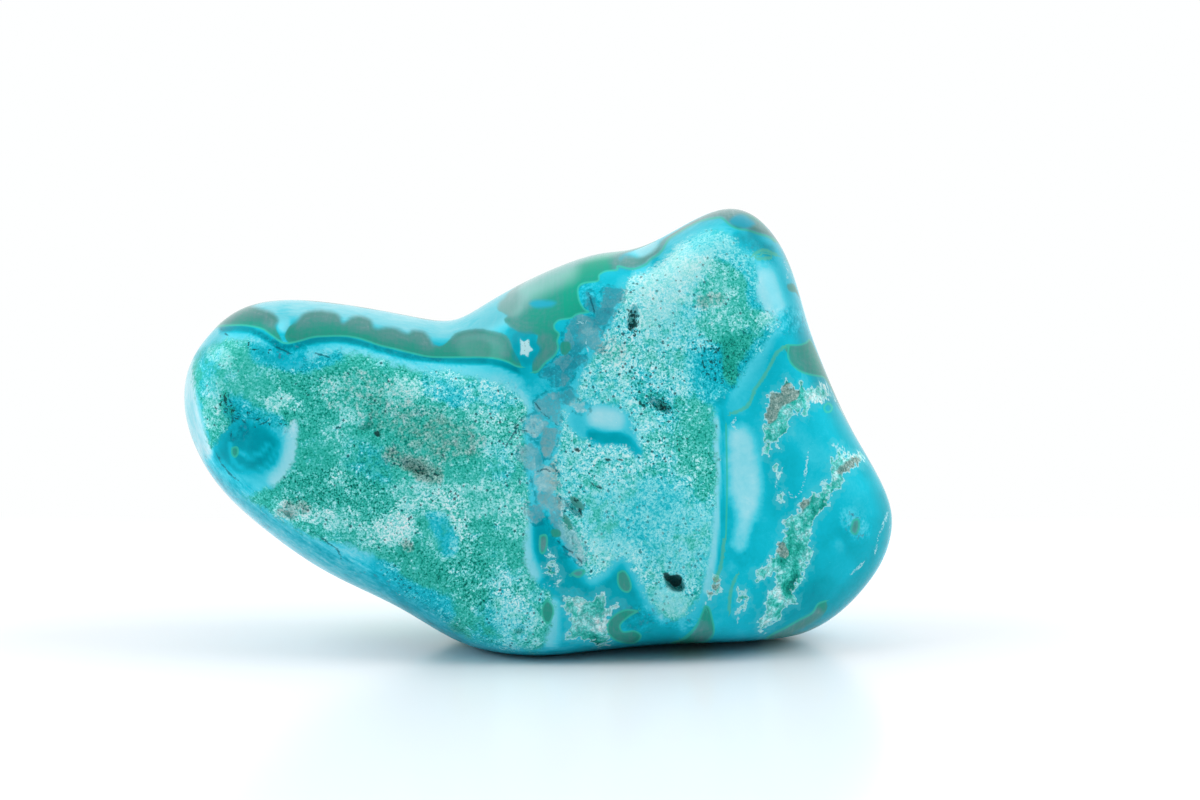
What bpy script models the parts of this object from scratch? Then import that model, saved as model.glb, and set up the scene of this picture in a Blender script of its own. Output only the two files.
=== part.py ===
"""A polished freeform of chrysocolla and malachite: one stone, standing on a flat cut in its underside.

The stone is a thick slab that leans back a little. Its outline is drawn in the slab's own plane, in
millimetres across and up. From the rim of that outline the front and the back swell out, each to a
broad face made of a few ground facets, and each rolls over into the rim with its own radius.
"""

import math

import bmesh
import bpy
import numpy as np

MM = 0.001

# Driving dimensions, in millimetres and degrees.
LEAN = math.radians(7.0)  # the slab's plane leans back from upright by this much
FRONT_SWELL = 15.5  # from the rim to the front face
BACK_SWELL = 17.5  # from the rim to the back face
BACK_ROLL = 13.0  # how far in from the rim the back face starts to roll over
ROLL_POWER = 2.2  # 2 is an elliptical roll, and more is squarer
RIM_TILT = (0.05, 0.04)  # depth that the rim gains for each millimetre across and up
BASE_CUT = 1.8  # the underside is ground flat at this height in the slab's own axes
MIDDLE = (1.0, 24.0, 0.0)  # across, up and depth of a point from which all of the skin can be seen

# The grid that becomes the skin: cells across, up and in depth, and half the size of the block it starts as.
GRID_CELLS = (38, 24, 16)
HALF_BLOCK = (41.0, 25.0, 16.0)
RELAX_ROUNDS = 8
SMOOTH_ROUNDS = 2
RAY_REACH = 3.0  # rays end this many half blocks out
RAY_HALVINGS = 16
FLAT_WITHIN = 0.02  # points this near the base plane lie on it

# The outline, clockwise from the left end: across, up, and how far in the front face starts to roll.
OUTLINE = (
    (-42.1, 30.5, 5.5), (-41.5, 35.0, 5.5), (-39.7, 37.9, 6.5), (-36.7, 41.1, 7.5), (-33.1, 42.6, 8.0),
    (-28.0, 42.8, 8.0), (-21.4, 42.0, 8.0), (-15.4, 40.9, 8.5), (-11.6, 40.2, 10.0), (-9.2, 40.6, 11.0),
    (-4.6, 43.4, 12.0), (0.8, 46.2, 12.0), (7.4, 48.6, 9.0), (12.3, 48.7, 6.5), (15.5, 50.6, 5.5),
    (19.3, 53.2, 5.0), (22.5, 54.3, 4.5), (25.7, 53.4, 4.5), (28.9, 49.9, 4.5), (30.9, 45.2, 4.5),
    (33.0, 38.1, 4.5), (37.0, 28.6, 4.5), (41.0, 21.7, 5.0), (42.9, 17.0, 5.5), (41.6, 11.4, 6.5),
    (37.6, 6.4, 7.5), (33.7, 3.6, 7.0), (29.6, 2.3, 6.0), (21.8, 1.8, 5.5), (14.6, 1.6, 5.5),
    (7.4, 0.8, 5.0), (0.8, -0.3, 5.0), (-4.6, 0.3, 5.5), (-9.9, 2.2, 6.5), (-16.7, 6.2, 7.0),
    (-25.4, 10.5, 7.0), (-31.8, 14.9, 7.0), (-37.6, 20.1, 6.5), (-40.9, 25.5, 6.0),
)  # fmt: skip
CURVE_STEPS = 6

# Ground facets. Each lowers the swell beyond a line: a point on the line (across, up), the way that
# the facet falls (across, up), and its slope.
FRONT_FACETS = (
    ((22.3, 20.0), (1.0, -0.06), 0.42),  # the right side
    ((25.0, 40.0), (0.8, 0.6), 0.30),  # the shoulder under the peak
    ((-33.0, 26.0), (-1.0, -0.25), 0.22),  # the left end
    ((-12.0, 12.0), (-0.45, -0.9), 0.16),  # the long flank at the lower left
)
BACK_FACETS = (
    ((-18.0, 26.0), (-1.0, 0.2), 0.30),
    ((20.0, 24.0), (1.0, 0.1), 0.38),
    ((4.0, 36.0), (0.2, 1.0), 0.45),
    ((0.0, 13.0), (-0.2, -1.0), 0.30),
)
FACET_BLEND = 3.0  # how softly two facets meet

# Swells and hollows in the faces: across, up, radius, and height, which is below 0 for a hollow.
FRONT_LUMPS = (
    (-22.5, 27.0, 11.0, 0.7),
    (12.0, 20.0, 11.0, 0.8),
    (-35.0, 25.0, 3.6, -0.9),
    (23.8, 34.0, 4.0, -1.1),
    (-6.5, 38.0, 3.5, -1.2),
    (-1.2, 33.5, 3.2, -1.0),
    (8.0, 27.5, 2.6, -0.35),
    (35.0, 16.0, 7.0, 0.6),
)
BACK_LUMPS = (
    (-26.0, 30.0, 9.0, 1.2),
    (-6.0, 27.0, 9.0, -2.0),
    (16.0, 36.0, 8.0, 1.3),
    (24.0, 13.0, 9.0, 0.9),
    (2.0, 10.0, 7.0, 1.1),
)
WAVES = ((19.0, 0.6, 0.12), (27.0, 2.2, 0.16), (14.0, 3.9, 0.07))  # hand grinding: length, heading, height

# Open pits in the front face: across, up, half length, half width, turn in degrees, and depth.
PITS = (
    (16.1, 9.6, 1.5, 0.95, -35.0, 2.4),
    (11.2, 40.3, 1.8, 0.7, 80.0, 1.5),
    (14.3, 30.2, 1.7, 0.8, -30.0, 1.4),
    (-13.9, 23.1, 1.9, 1.0, -25.0, 1.2),
    (-28.2, 17.7, 1.2, 0.8, 10.0, 1.1),
    (4.4, 18.2, 1.6, 0.7, -45.0, 1.1),
    (-19.5, 27.8, 1.1, 0.7, 15.0, 0.9),
    (-1.9, 4.4, 0.9, 0.7, 50.0, 0.9),
)
PIT_RINGS = ((1.0, 0.0), (0.8, 0.75))  # from a pit's edge in: shares of its width and of its depth
PIT_INSET = 0.2  # the first step in, before a ring is laid on its ellipse
PIT_REACH = 7.0  # grid points this near a pit slide along the face to line up with it


def closed_curve(points, steps):
    """A smooth closed curve through the points, as a polyline: a Catmull-Rom spline."""
    p1 = np.array(points, float)
    p0, p2, p3 = (np.roll(p1, shift, axis=0) for shift in (1, -1, -2))
    t = (np.arange(steps) / steps)[None, :, None]
    p0, p1, p2, p3 = (p[:, None, :] for p in (p0, p1, p2, p3))
    curve = 2 * p1 + (p2 - p0) * t + (2 * p0 - 5 * p1 + 4 * p2 - p3) * t**2 + (3 * (p1 - p2) + p3 - p0) * t**3
    return curve.reshape(-1, p1.shape[-1]) / 2


RIM = closed_curve(OUTLINE, CURVE_STEPS)


def from_rim(across, up):
    """Distance in from the rim, below 0 outside it, and the roll radius there."""
    start, end = RIM[:, :2], np.roll(RIM[:, :2], -1, axis=0)
    run = end - start
    here = np.stack([across, up], axis=-1)[:, None, :] - start
    share = np.clip((here * run).sum(-1) / (run * run).sum(-1), 0, 1)
    gap2 = ((here - share[..., None] * run) ** 2).sum(-1)
    above = (start[:, 1] > up[:, None]) != (end[:, 1] > up[:, None])
    crossing = start[:, 0] + (up[:, None] - start[:, 1]) * run[:, 0] / np.where(run[:, 1] == 0, 1, run[:, 1])
    inside = (above & (across[:, None] < crossing)).sum(-1) % 2 == 1
    weight = 1 / (gap2 + 1) ** 2
    roll = (weight * RIM[:, 2]).sum(-1) / weight.sum(-1)
    return np.where(inside, 1, -1) * np.sqrt(gap2.min(-1)), roll


def soft_least(a, b, width):
    """The lesser of a and b, rounded where they come within width of each other."""
    near = np.clip(0.5 + 0.5 * (b - a) / width, 0, 1)
    return b + (a - b) * near - width * near * (1 - near)


def swell(across, up, full, facets, lumps):
    """Height of a face over the rim's plane, away from the rim."""
    height = np.full_like(across, full)
    for (at_across, at_up), (to_across, to_up), slope in facets:
        past = ((across - at_across) * to_across + (up - at_up) * to_up) / math.hypot(to_across, to_up)
        height = soft_least(height, full - slope * past, FACET_BLEND)
    for at_across, at_up, radius, lift in lumps:
        height = height + lift * np.exp(-((across - at_across) ** 2 + (up - at_up) ** 2) / radius**2)
    for length, heading, rise in WAVES:
        along = across * math.cos(heading) + up * math.sin(heading)
        height = height + rise * np.sin(along * math.tau / length)
    return height


def rolled(distance, radius):
    """Share of the full swell at a distance in from the rim: 0 on the rim, and 1 past the radius."""
    left = 1 - np.clip(distance / radius, 0, 1)
    return (1 - left**ROLL_POWER) ** (1 / ROLL_POWER)


def in_slab(points):
    """Millimetre points in the part's own axes, as across, up and depth in the leaning slab."""
    x, y, z = points.T
    return x, y * math.sin(LEAN) + z * math.cos(LEAN), y * math.cos(LEAN) - z * math.sin(LEAN)


def out_of_slab(across, up, depth):
    y = up * math.sin(LEAN) + depth * math.cos(LEAN)
    z = up * math.cos(LEAN) - depth * math.sin(LEAN)
    return np.stack([across, y, z], axis=-1)


MIDDLE_POINT = out_of_slab(*np.array(MIDDLE))


def faces_of_slab(across, up):
    """Distance in from the rim, and the depths of the front face and the back face."""
    distance, roll = from_rim(across, up)
    rim_depth = RIM_TILT[0] * across + RIM_TILT[1] * (up - MIDDLE[1])
    front = swell(across, up, FRONT_SWELL, FRONT_FACETS, FRONT_LUMPS) * rolled(distance, roll)
    back = swell(across, up, BACK_SWELL, BACK_FACETS, BACK_LUMPS) * rolled(distance, BACK_ROLL)
    return distance, rim_depth - front, rim_depth + back


def front_point(across, up, sunk):
    """The point of the part that is sunk this deep in the front face."""
    _, front, _ = faces_of_slab(np.array([across]), np.array([up]))
    return out_of_slab(across, up, front[0] + sunk)


def is_stone(points):
    """Which of these millimetre points lie in the stone."""
    across, up, depth = in_slab(points)
    distance, front, back = faces_of_slab(across, up)
    return (distance > 0) & (depth > front) & (depth < back) & (points[:, 2] > BASE_CUT)


def onto_skin(points):
    """Slides each point along its ray from the stone's middle to the skin."""
    ray = points - MIDDLE_POINT
    ray = ray / np.linalg.norm(ray / np.array(HALF_BLOCK)[[0, 2, 1]], axis=1, keepdims=True)
    near, far = np.zeros(len(ray)), np.full(len(ray), RAY_REACH)
    for _ in range(RAY_HALVINGS):
        half = (near + far) / 2
        inside = is_stone(MIDDLE_POINT + ray * half[:, None])
        near, far = np.where(inside, half, near), np.where(inside, far, half)
    return MIDDLE_POINT + ray * near[:, None]


def block_grid():
    """A block in the slab's axes, its faces cut into a grid of near-square cells."""
    bm = bmesh.new()
    bmesh.ops.create_cube(bm, size=2)
    for axis, cells in enumerate(GRID_CELLS):
        along = [e for e in bm.edges if abs((e.verts[0].co - e.verts[1].co)[axis]) > 1]
        bmesh.ops.subdivide_edges(bm, edges=along, cuts=cells - 1, use_grid_fill=True)
    return bm


def points_of(bm):
    return np.array([v.co[:] for v in bm.verts])


def place(bm, points):
    for vert, point in zip(bm.verts, points):
        vert.co = point
    bm.normal_update()


def relax(bm, points, rounds):
    """Moves each point towards the mean of its neighbours, the given number of times."""
    bm.verts.index_update()
    ends = np.array([(e.verts[0].index, e.verts[1].index) for e in bm.edges])
    count = np.bincount(ends.ravel(), minlength=len(points))[:, None]
    for _ in range(rounds):
        total = np.zeros_like(points)
        np.add.at(total, ends[:, 0], points[ends[:, 1]])
        np.add.at(total, ends[:, 1], points[ends[:, 0]])
        points = (points + total / count) / 2
    return points


def slide_to(bm, across, up):
    """Slides the nearest point of the front face to this place, and the points around it partly with it."""
    points = points_of(bm)
    all_across, all_up, all_depth = in_slab(points)
    target = front_point(across, up, 0)
    nearest = np.linalg.norm(points - target, axis=1).argmin()
    gap = np.linalg.norm(points - points[nearest], axis=1)
    near = np.flatnonzero((gap < PIT_REACH) & (all_depth < 0))
    share = (1 - gap[near] / PIT_REACH) ** 2
    new_across = all_across[near] + (across - all_across[nearest]) * share
    new_up = all_up[near] + (up - all_up[nearest]) * share
    rise = faces_of_slab(new_across, new_up)[1] - faces_of_slab(all_across[near], all_up[near])[1]
    bm.verts.ensure_lookup_table()
    for index, point in zip(near, out_of_slab(new_across, new_up, all_depth[near] + rise)):
        bm.verts[index].co = point
    return bm.verts[nearest]


def sink_pits(bm):
    """Opens each pit in the cells around one point of the front, as rings that step down to it."""
    for across, up, half_length, half_width, turn, depth in PITS:
        bottom = slide_to(bm, across, up)
        turn = math.radians(turn)
        for width_share, depth_share in PIT_RINGS:
            bmesh.ops.inset_region(bm, faces=list(bottom.link_faces), thickness=PIT_INSET)
            ring = {vert for face in bottom.link_faces for vert in face.verts} - {bottom}
            for vert in ring:
                vert_across, vert_up, _ = in_slab(np.array(vert.co))
                heading = math.atan2(vert_up - up, vert_across - across) - turn
                along = width_share * half_length * math.cos(heading)
                aside = width_share * half_width * math.sin(heading)
                ring_across = across + along * math.cos(turn) - aside * math.sin(turn)
                ring_up = up + along * math.sin(turn) + aside * math.cos(turn)
                vert.co = front_point(ring_across, ring_up, depth_share * depth)
        bottom.co = front_point(across, up, depth)
    bm.normal_update()


def stone_mesh():
    bm = block_grid()
    spread = points_of(bm)
    spread = spread / np.linalg.norm(spread, axis=1, keepdims=True) * np.array(HALF_BLOCK)
    points = onto_skin(MIDDLE_POINT + out_of_slab(*spread.T))
    for _ in range(RELAX_ROUNDS):
        points = onto_skin(relax(bm, points, 1))
    points = relax(bm, points, SMOOTH_ROUNDS)
    height = points[:, 2] - BASE_CUT
    points[:, 2] = np.where(height < FLAT_WITHIN, 0, height) + BASE_CUT
    place(bm, points)
    bmesh.ops.recalc_face_normals(bm, faces=bm.faces)
    sink_pits(bm)
    centre = (points.min(0) + points.max(0)) / 2
    bmesh.ops.translate(bm, verts=bm.verts, vec=(-centre[0], -centre[1], -BASE_CUT))
    bmesh.ops.scale(bm, verts=bm.verts, vec=(MM, MM, MM))
    mesh = bpy.data.meshes.new("stone")
    bm.to_mesh(mesh)
    bm.free()
    mesh.shade_smooth()
    return mesh


def polished_stone():
    material = bpy.data.materials.new("polished_chrysocolla")
    material.use_nodes = True
    shader = material.node_tree.nodes["Principled BSDF"]
    shader.inputs["Base Color"].default_value = (0.05, 0.47, 0.46, 1.0)
    shader.inputs["Roughness"].default_value = 0.18
    shader.inputs["Metallic"].default_value = 0.0
    return material


def main():
    for obj in list(bpy.data.objects):
        bpy.data.objects.remove(obj)
    stone = bpy.data.objects.new("stone", stone_mesh())
    stone.data.materials.append(polished_stone())
    bpy.context.scene.collection.objects.link(stone)


main()
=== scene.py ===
"""The finish of a polished freeform of chrysocolla and malachite, and the pale studio floor that it stands on.

The stone's markings are laid out on a plan of its front. A plan step is 0.12 mm on the stone, and
places are counted in steps across from the left and down from the top. Outlines become signed distances
(above 0 inside), and washes become soft values, each kept as a named attribute of the mesh. The material
sharpens them with grain.
"""

import math

import bmesh
import bpy
import numpy as np
from bpy.props import FloatProperty, FloatVectorProperty, PointerProperty
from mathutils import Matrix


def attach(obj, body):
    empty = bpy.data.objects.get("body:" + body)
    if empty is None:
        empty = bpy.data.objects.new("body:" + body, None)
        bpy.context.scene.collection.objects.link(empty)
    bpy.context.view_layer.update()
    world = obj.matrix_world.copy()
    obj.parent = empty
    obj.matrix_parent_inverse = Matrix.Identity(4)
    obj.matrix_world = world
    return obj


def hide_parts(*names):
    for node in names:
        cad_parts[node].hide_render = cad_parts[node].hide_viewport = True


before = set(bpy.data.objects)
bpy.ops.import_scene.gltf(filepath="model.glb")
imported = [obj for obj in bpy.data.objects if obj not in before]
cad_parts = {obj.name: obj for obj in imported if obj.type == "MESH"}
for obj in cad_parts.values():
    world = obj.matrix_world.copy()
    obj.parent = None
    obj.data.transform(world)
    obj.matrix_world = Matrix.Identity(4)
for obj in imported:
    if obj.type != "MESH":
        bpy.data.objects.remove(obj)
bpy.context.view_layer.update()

bl_info = {
    "name": "Chrysocolla Freeform",
    "version": (1, 0, 0),
    "blender": (4, 5, 0),
    "location": "3D View > Sidebar > Stone",
    "description": "Finishes a polished freeform of chrysocolla and malachite, and sets up its studio",
    "category": "Object",
}

MM = 0.001

# The plan of the front: where its sight lines start, how far they dip, and the plan's scale and middle.
SIGHT_FROM = (7.06, -396.8, 77.48)  # mm
SIGHT_DIP = math.radians(7.0)
SIGHT_STEPS = 3333.3  # steps across for each unit of slope
PLAN_MIDDLE = (600.0, 400.0)
CLIP = 40.0  # steps, the furthest distance kept
CURVE_PARTS = 4  # straight parts between two points of a curve

# Behind the rim the plan turns about its middle and sways, so that the back has markings of its own.
RIM_PLACE = (-0.34, -3.87, -1.8)  # mm, a point on the rim's plane
TURN_MIDDLE = (545.0, 455.0)
TURN_DEPTH = (-6.0, 10.0)  # mm behind the rim's plane, where the turn starts and ends
TURN = math.radians(-36.0)
TURN_WIDTH = -0.24  # how much wider the plan runs where it has turned
TURN_SLOPE = 0.30  # faces that look less than this towards the sight lines take part
SWAY = 30.0  # steps, how far the turned markings wander
SWAY_DEPTH = (-5.0, 5.0)  # mm behind the rim's plane
SWAYS = (  # across and down, two waves each: mm for each radian along x, y and z, the start and the share
    (((3.7, 2.6, math.inf), 0.8, 0.6), ((7.0, -3.3, 2.9), 0.0, 0.7)),
    (((math.inf, 2.8, 3.4), 2.1, 0.6), ((3.1, -3.6, 8.0), 0.0, 0.7)),
)

# The stone's mesh: its rounding, and where its cells are cut finer.
MERGE = MM / 1000
FLAT_ENOUGH = math.radians(50)  # triangles that meet flatter than this are joined
ROUNDINGS = 2
CRISP = {"malachite": 4, "breccia": 5, "star": 8, "quartz": 3, "blue_lens": 4, "cave": 4}  # steps from the edge
CRISP_SLOPE = 0.1  # of the normals, past which the hidden side isn't cut finer

# The studio, in metres.
FLOOR_HALF = 2.5
FLOOR_FADE = (66.0, 92.0)  # mm behind the stone's middle, where the table turns into the surround
FLOOR_CLOUD = 20.0  # mm, how far that edge wanders
SURROUND_FADE = (-0.9, -0.1)  # of the direction's depth, from the side behind the camera to the surround
LAMP_PLACE = (0.60, -0.05, 0.50)
LAMP_AIM = (0.0, 0.0, 0.02)
LAMP_SIZE = 0.6
SENSOR_WIDTH = 36.0  # mm

MALACHITE = {
    "left lobe": (
        (214, 327), (224, 326), (238, 325), (251, 326), (263, 329), (273, 336), (283, 342), (279, 335), (276, 327),
        (279, 320), (273, 313), (263, 309), (246, 304), (232, 302), (220, 312),
    ),
    "lobes": (
        (289, 343), (299, 341), (313, 337), (329, 336), (346, 336), (362, 339), (379, 345), (396, 349), (412, 353),
        (433, 357), (455, 357), (475, 357), (493, 358), (506, 361), (516, 366), (522, 367), (514, 351), (510, 341),
        (504, 334), (493, 331), (480, 329), (466, 330), (455, 334), (448, 341), (442, 346), (434, 345), (430, 338),
        (423, 331), (413, 330), (407, 333), (396, 328), (386, 327), (375, 328), (371, 320), (361, 316), (351, 317),
        (343, 323), (340, 316), (333, 312), (318, 310), (304, 313), (296, 321), (288, 328), (285, 336),
    ),
    "field": (
        (533, 372), (533, 361), (540, 349), (536, 343), (538, 335), (529, 334), (519, 332), (509, 326), (504, 320),
        (507, 315), (498, 310), (499, 302), (505, 296), (508, 286), (530, 260), (575, 235), (622, 232), (631, 247),
        (625, 253), (620, 258), (622, 263), (617, 270), (606, 271), (599, 275), (598, 281), (584, 283), (578, 288),
        (579, 300), (584, 309), (589, 312), (577, 314), (571, 318), (559, 320), (554, 325), (555, 330), (559, 334),
        (557, 341), (558, 348), (554, 356), (546, 362), (538, 372),
    ),
    "right rim": (
        (618, 266), (632, 269), (645, 265), (651, 259), (661, 252), (668, 240), (673, 236), (686, 228), (700, 221),
        (714, 218), (722, 218), (730, 225), (738, 229), (747, 230), (759, 234), (769, 237), (777, 243), (795, 240),
        (770, 200), (730, 190), (690, 200), (668, 226), (659, 244), (650, 253), (640, 257), (627, 256), (620, 260),
    ),
    "right lens": (
        (784, 347), (789, 345), (799, 345), (807, 342), (811, 337), (824, 328), (842, 374), (825, 377), (812, 375),
        (800, 371), (791, 364), (789, 356),
    ),
    "foot": (
        (705, 606), (709, 608), (712, 618), (714, 632), (708, 640), (698, 643), (676, 648), (672, 643), (686, 638),
        (696, 627), (701, 616),
    ),
    "low band": (
        (758, 650), (768, 637), (785, 628), (799, 620), (812, 613), (818, 604), (826, 601), (826, 611), (816, 621),
        (801, 630), (788, 638), (778, 648), (768, 654),
    ),
    "hook": (
        (638, 611), (628, 617), (620, 625), (623, 632), (634, 631), (641, 636), (634, 643), (618, 641), (609, 634),
        (608, 624), (615, 615), (626, 610),
    ),
    "eye": ((618, 573), (624, 571), (629, 578), (631, 587), (628, 592), (622, 590), (618, 583)),
    "oval": ((546, 600), (552, 605), (553, 614), (549, 623), (544, 620), (542, 610)),
    "bead": ((561, 343), (569, 342), (571, 348), (566, 355), (561, 353)),
    "spot": ((853, 521), (858, 519), (859, 527), (856, 534), (851, 531)),
    "fleck": ((540, 536), (546, 535), (547, 543), (544, 553), (540, 551)),
    "upper fleck": ((551, 530), (560, 530), (561, 536), (553, 537)),
    "lower fleck": ((571, 574), (578, 570), (585, 571), (579, 577)),
    "dimple eye": ((232, 448), (237, 447), (238, 453), (235, 457), (232, 454)),
    "upper leaf": ((570, 497), (576, 497), (582, 503), (584, 510), (577, 508), (572, 503)),
    "lower leaf": ((563, 516), (567, 516), (571, 523), (572, 530), (567, 528), (564, 522)),
    "rim fleck": ((787, 286), (792, 283), (798, 284), (798, 291), (791, 292)),
}
OUTLINED = ("hook", "eye", "oval", "spot", "fleck", "lower fleck", "dimple eye", "foot")  # with a bright line around
BLUE_LENSES = (
    ((529, 303), (535, 300), (545, 300), (556, 302), (553, 306), (543, 308), (533, 307)),
    ((729, 222), (734, 216), (742, 214), (750, 218), (755, 224), (748, 228), (738, 227)),
)
GRAINS = (
    (
        (197, 356), (210, 344), (230, 339), (252, 340), (268, 352), (285, 368), (305, 362), (325, 352), (350, 352),
        (378, 358), (400, 366), (425, 371), (450, 370), (475, 376), (500, 383), (515, 392), (528, 408), (524, 425),
        (527, 445), (526, 470), (531, 499), (529, 520), (525, 545), (527, 568), (540, 585), (552, 594), (553, 612),
        (549, 632), (540, 650), (520, 650), (495, 648), (470, 640), (450, 628), (430, 612), (408, 600), (395, 585),
        (380, 568), (372, 556), (345, 545), (315, 540), (290, 525), (262, 508), (243, 496), (251, 496), (266, 488),
        (283, 478), (293, 461), (296, 440), (296, 422), (284, 430), (262, 425), (240, 420), (224, 432), (211, 449),
        (206, 432), (200, 408), (194, 388), (192, 370),
    ),
    (
        (632, 275), (648, 271), (663, 260), (674, 248), (687, 239), (703, 232), (717, 229), (728, 234), (740, 244),
        (752, 254), (758, 268), (758, 288), (764, 310), (778, 322), (766, 342), (752, 362), (742, 375), (733, 388),
        (720, 398), (714, 412), (716, 440), (717, 481), (714, 520), (710, 555), (703, 583), (695, 605), (680, 619),
        (662, 616), (648, 598), (636, 574), (622, 557), (606, 570), (592, 578), (581, 566), (573, 551), (561, 528),
        (558, 505), (552, 490), (550, 470), (556, 450), (561, 430), (562, 410), (575, 402), (580, 380), (590, 358),
        (602, 338), (612, 322), (620, 300), (625, 283),
    ),
)
PALE_BAND = (
    (729, 430), (740, 426), (750, 430), (757, 450), (761, 475), (761, 495), (757, 512), (751, 526), (744, 534),
    (740, 528), (735, 510), (729, 490), (727, 460), (727, 442),
)
GLAZED = (  # polished patches inside the grains
    (
        (566, 411), (574, 403), (590, 403), (606, 404), (622, 408), (630, 418), (634, 432), (640, 446), (640, 457),
        (632, 452), (622, 446), (604, 446), (590, 441), (576, 434), (568, 424),
    ),
)
QUARTZ = (
    ((606, 289), (622, 290), (620, 300), (613, 309), (607, 322), (598, 325), (597, 314), (602, 306), (604, 297)),
    ((587, 293), (592, 296), (594, 303), (596, 311), (591, 311), (588, 303)),
    (
        (574, 317), (582, 315), (592, 320), (600, 327), (597, 336), (602, 343), (596, 351), (586, 346), (578, 352),
        (569, 349), (566, 338), (569, 327),
    ),
    ((556, 362), (564, 356), (575, 351), (584, 361), (577, 366), (572, 371), (565, 384), (556, 386)),
    ((544, 370), (552, 366), (555, 371), (548, 376), (544, 375)),
    ((536, 405), (540, 400), (553, 393), (558, 394), (559, 408), (556, 423), (550, 417), (541, 412)),
    ((562, 395), (570, 391), (574, 396), (574, 404), (567, 404), (562, 400)),
    ((573, 405), (583, 404), (586, 411), (578, 411)),
    ((527, 420), (538, 416), (548, 422), (543, 432), (534, 436), (527, 430)),
    ((546, 428), (556, 430), (554, 443), (548, 455), (542, 448), (543, 437)),
    ((522, 449), (530, 444), (538, 450), (540, 462), (535, 471), (526, 466), (522, 458)),
    ((535, 470), (546, 466), (555, 474), (557, 486), (549, 496), (540, 492), (535, 482)),
    ((539, 496), (552, 495), (563, 505), (559, 514), (550, 510), (541, 505)),
    ((528, 506), (540, 507), (543, 516), (536, 521), (529, 517)),
    ((550, 511), (560, 514), (563, 524), (557, 528), (551, 522)),
    ((559, 527), (569, 526), (577, 537), (583, 551), (582, 562), (574, 556), (567, 546), (561, 537)),
)
BRECCIA = (
    (
        (785, 379), (780, 390), (773, 391), (768, 398), (765, 410), (764, 424), (766, 440), (763, 455), (769, 455),
        (773, 444), (778, 447), (781, 437), (790, 433), (787, 425), (794, 414), (802, 411), (806, 418), (811, 402),
        (820, 404), (826, 400), (832, 394), (824, 384), (815, 387), (806, 389), (802, 381), (796, 390), (790, 381),
    ),
    (
        (863, 449), (855, 454), (848, 450), (845, 457), (838, 454), (831, 458), (829, 470), (833, 478), (824, 484),
        (818, 493), (808, 497), (801, 504), (797, 513), (787, 518), (783, 525), (784, 536), (778, 544), (774, 556),
        (766, 566), (754, 574), (757, 582), (766, 578), (774, 574), (775, 584), (768, 594), (765, 611), (758, 624),
        (760, 633), (768, 628), (780, 618), (785, 604), (797, 604), (793, 592), (803, 579), (808, 566), (812, 551),
        (810, 540), (811, 531), (817, 516), (828, 504), (833, 494), (841, 487), (845, 474), (852, 470), (863, 462),
    ),
    ((774, 463), (778, 464), (777, 472), (781, 478), (778, 483), (775, 474)),
    ((738, 588), (747, 590), (745, 598), (749, 603), (743, 610), (737, 613), (740, 602)),
    ((713, 576), (721, 574), (719, 583), (724, 588), (716, 592), (710, 601), (706, 604), (708, 590)),
    (
        (561, 593), (570, 596), (576, 592), (581, 599), (591, 600), (597, 593), (606, 590), (604, 600), (607, 607),
        (616, 603), (622, 606), (611, 612), (608, 618), (608, 628), (612, 641), (599, 647), (590, 641), (581, 640),
        (566, 638), (570, 626), (569, 616), (564, 606),
    ),
    (
        (549, 550), (553, 554), (554, 562), (557, 566), (556, 572), (561, 578), (559, 585), (556, 578), (551, 573),
        (544, 573), (549, 570), (540, 567), (548, 564), (551, 558),
    ),
    ((834, 444), (841, 446), (846, 452), (849, 458), (843, 456), (838, 450)),
    ((780, 494), (784, 496), (784, 503), (780, 504), (778, 499)),
)
STAR = ((520, 339), (524, 342), (529, 339), (529, 345), (533, 350), (529, 352), (528, 357), (524, 354), (520, 355),
        (521, 348))
THREADS = (  # thin bright green lines, mostly along the malachite
    (
        (192, 326), (215, 326), (238, 325), (251, 326), (263, 329), (273, 336), (284, 343),
        *MALACHITE["lobes"][1:10], *MALACHITE["lobes"][11:16],
    ),
    ((533, 372), (538, 371), *MALACHITE["field"][-2:-21:-1], *MALACHITE["right rim"][:17]),
    ((811, 336), *MALACHITE["right lens"][3::-1]),
    ((789, 345), (788, 356), (792, 364), (800, 371), (812, 375), (828, 377)),
    ((726, 425), (727, 480), (726, 536)),
    ((705, 607), (696, 626), (682, 639), (664, 648)),
    ((828, 403), (832, 406), (831, 411), (826, 412), (824, 407), (828, 403)),
    MALACHITE["low band"][:7],
)
CRACKS = (  # thin dark lines
    ((521, 423), (514, 433), (506, 446)),
    ((519, 476), (520, 486)),
    ((525, 431), (535, 433)),
    ((589, 293), (591, 301), (594, 311)),
    ((555, 538), (565, 548), (574, 554), (582, 563)),
    ((536, 404), (543, 413), (555, 424)),
    ((536, 472), (545, 469), (553, 474)),
    ((228, 396), (233, 412), (231, 436)),
    ((236, 417), (248, 424), (262, 424), (272, 418)),
    ((218, 456), (226, 470), (239, 481)),
    ((311, 531), (320, 537), (331, 545)),
    ((336, 547), (341, 557)),
    ((222, 330), (226, 334)),
    ((742, 330), (747, 338), (744, 343)),
    ((275, 347), (290, 353)),
    ((310, 352), (330, 357)),
)
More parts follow.
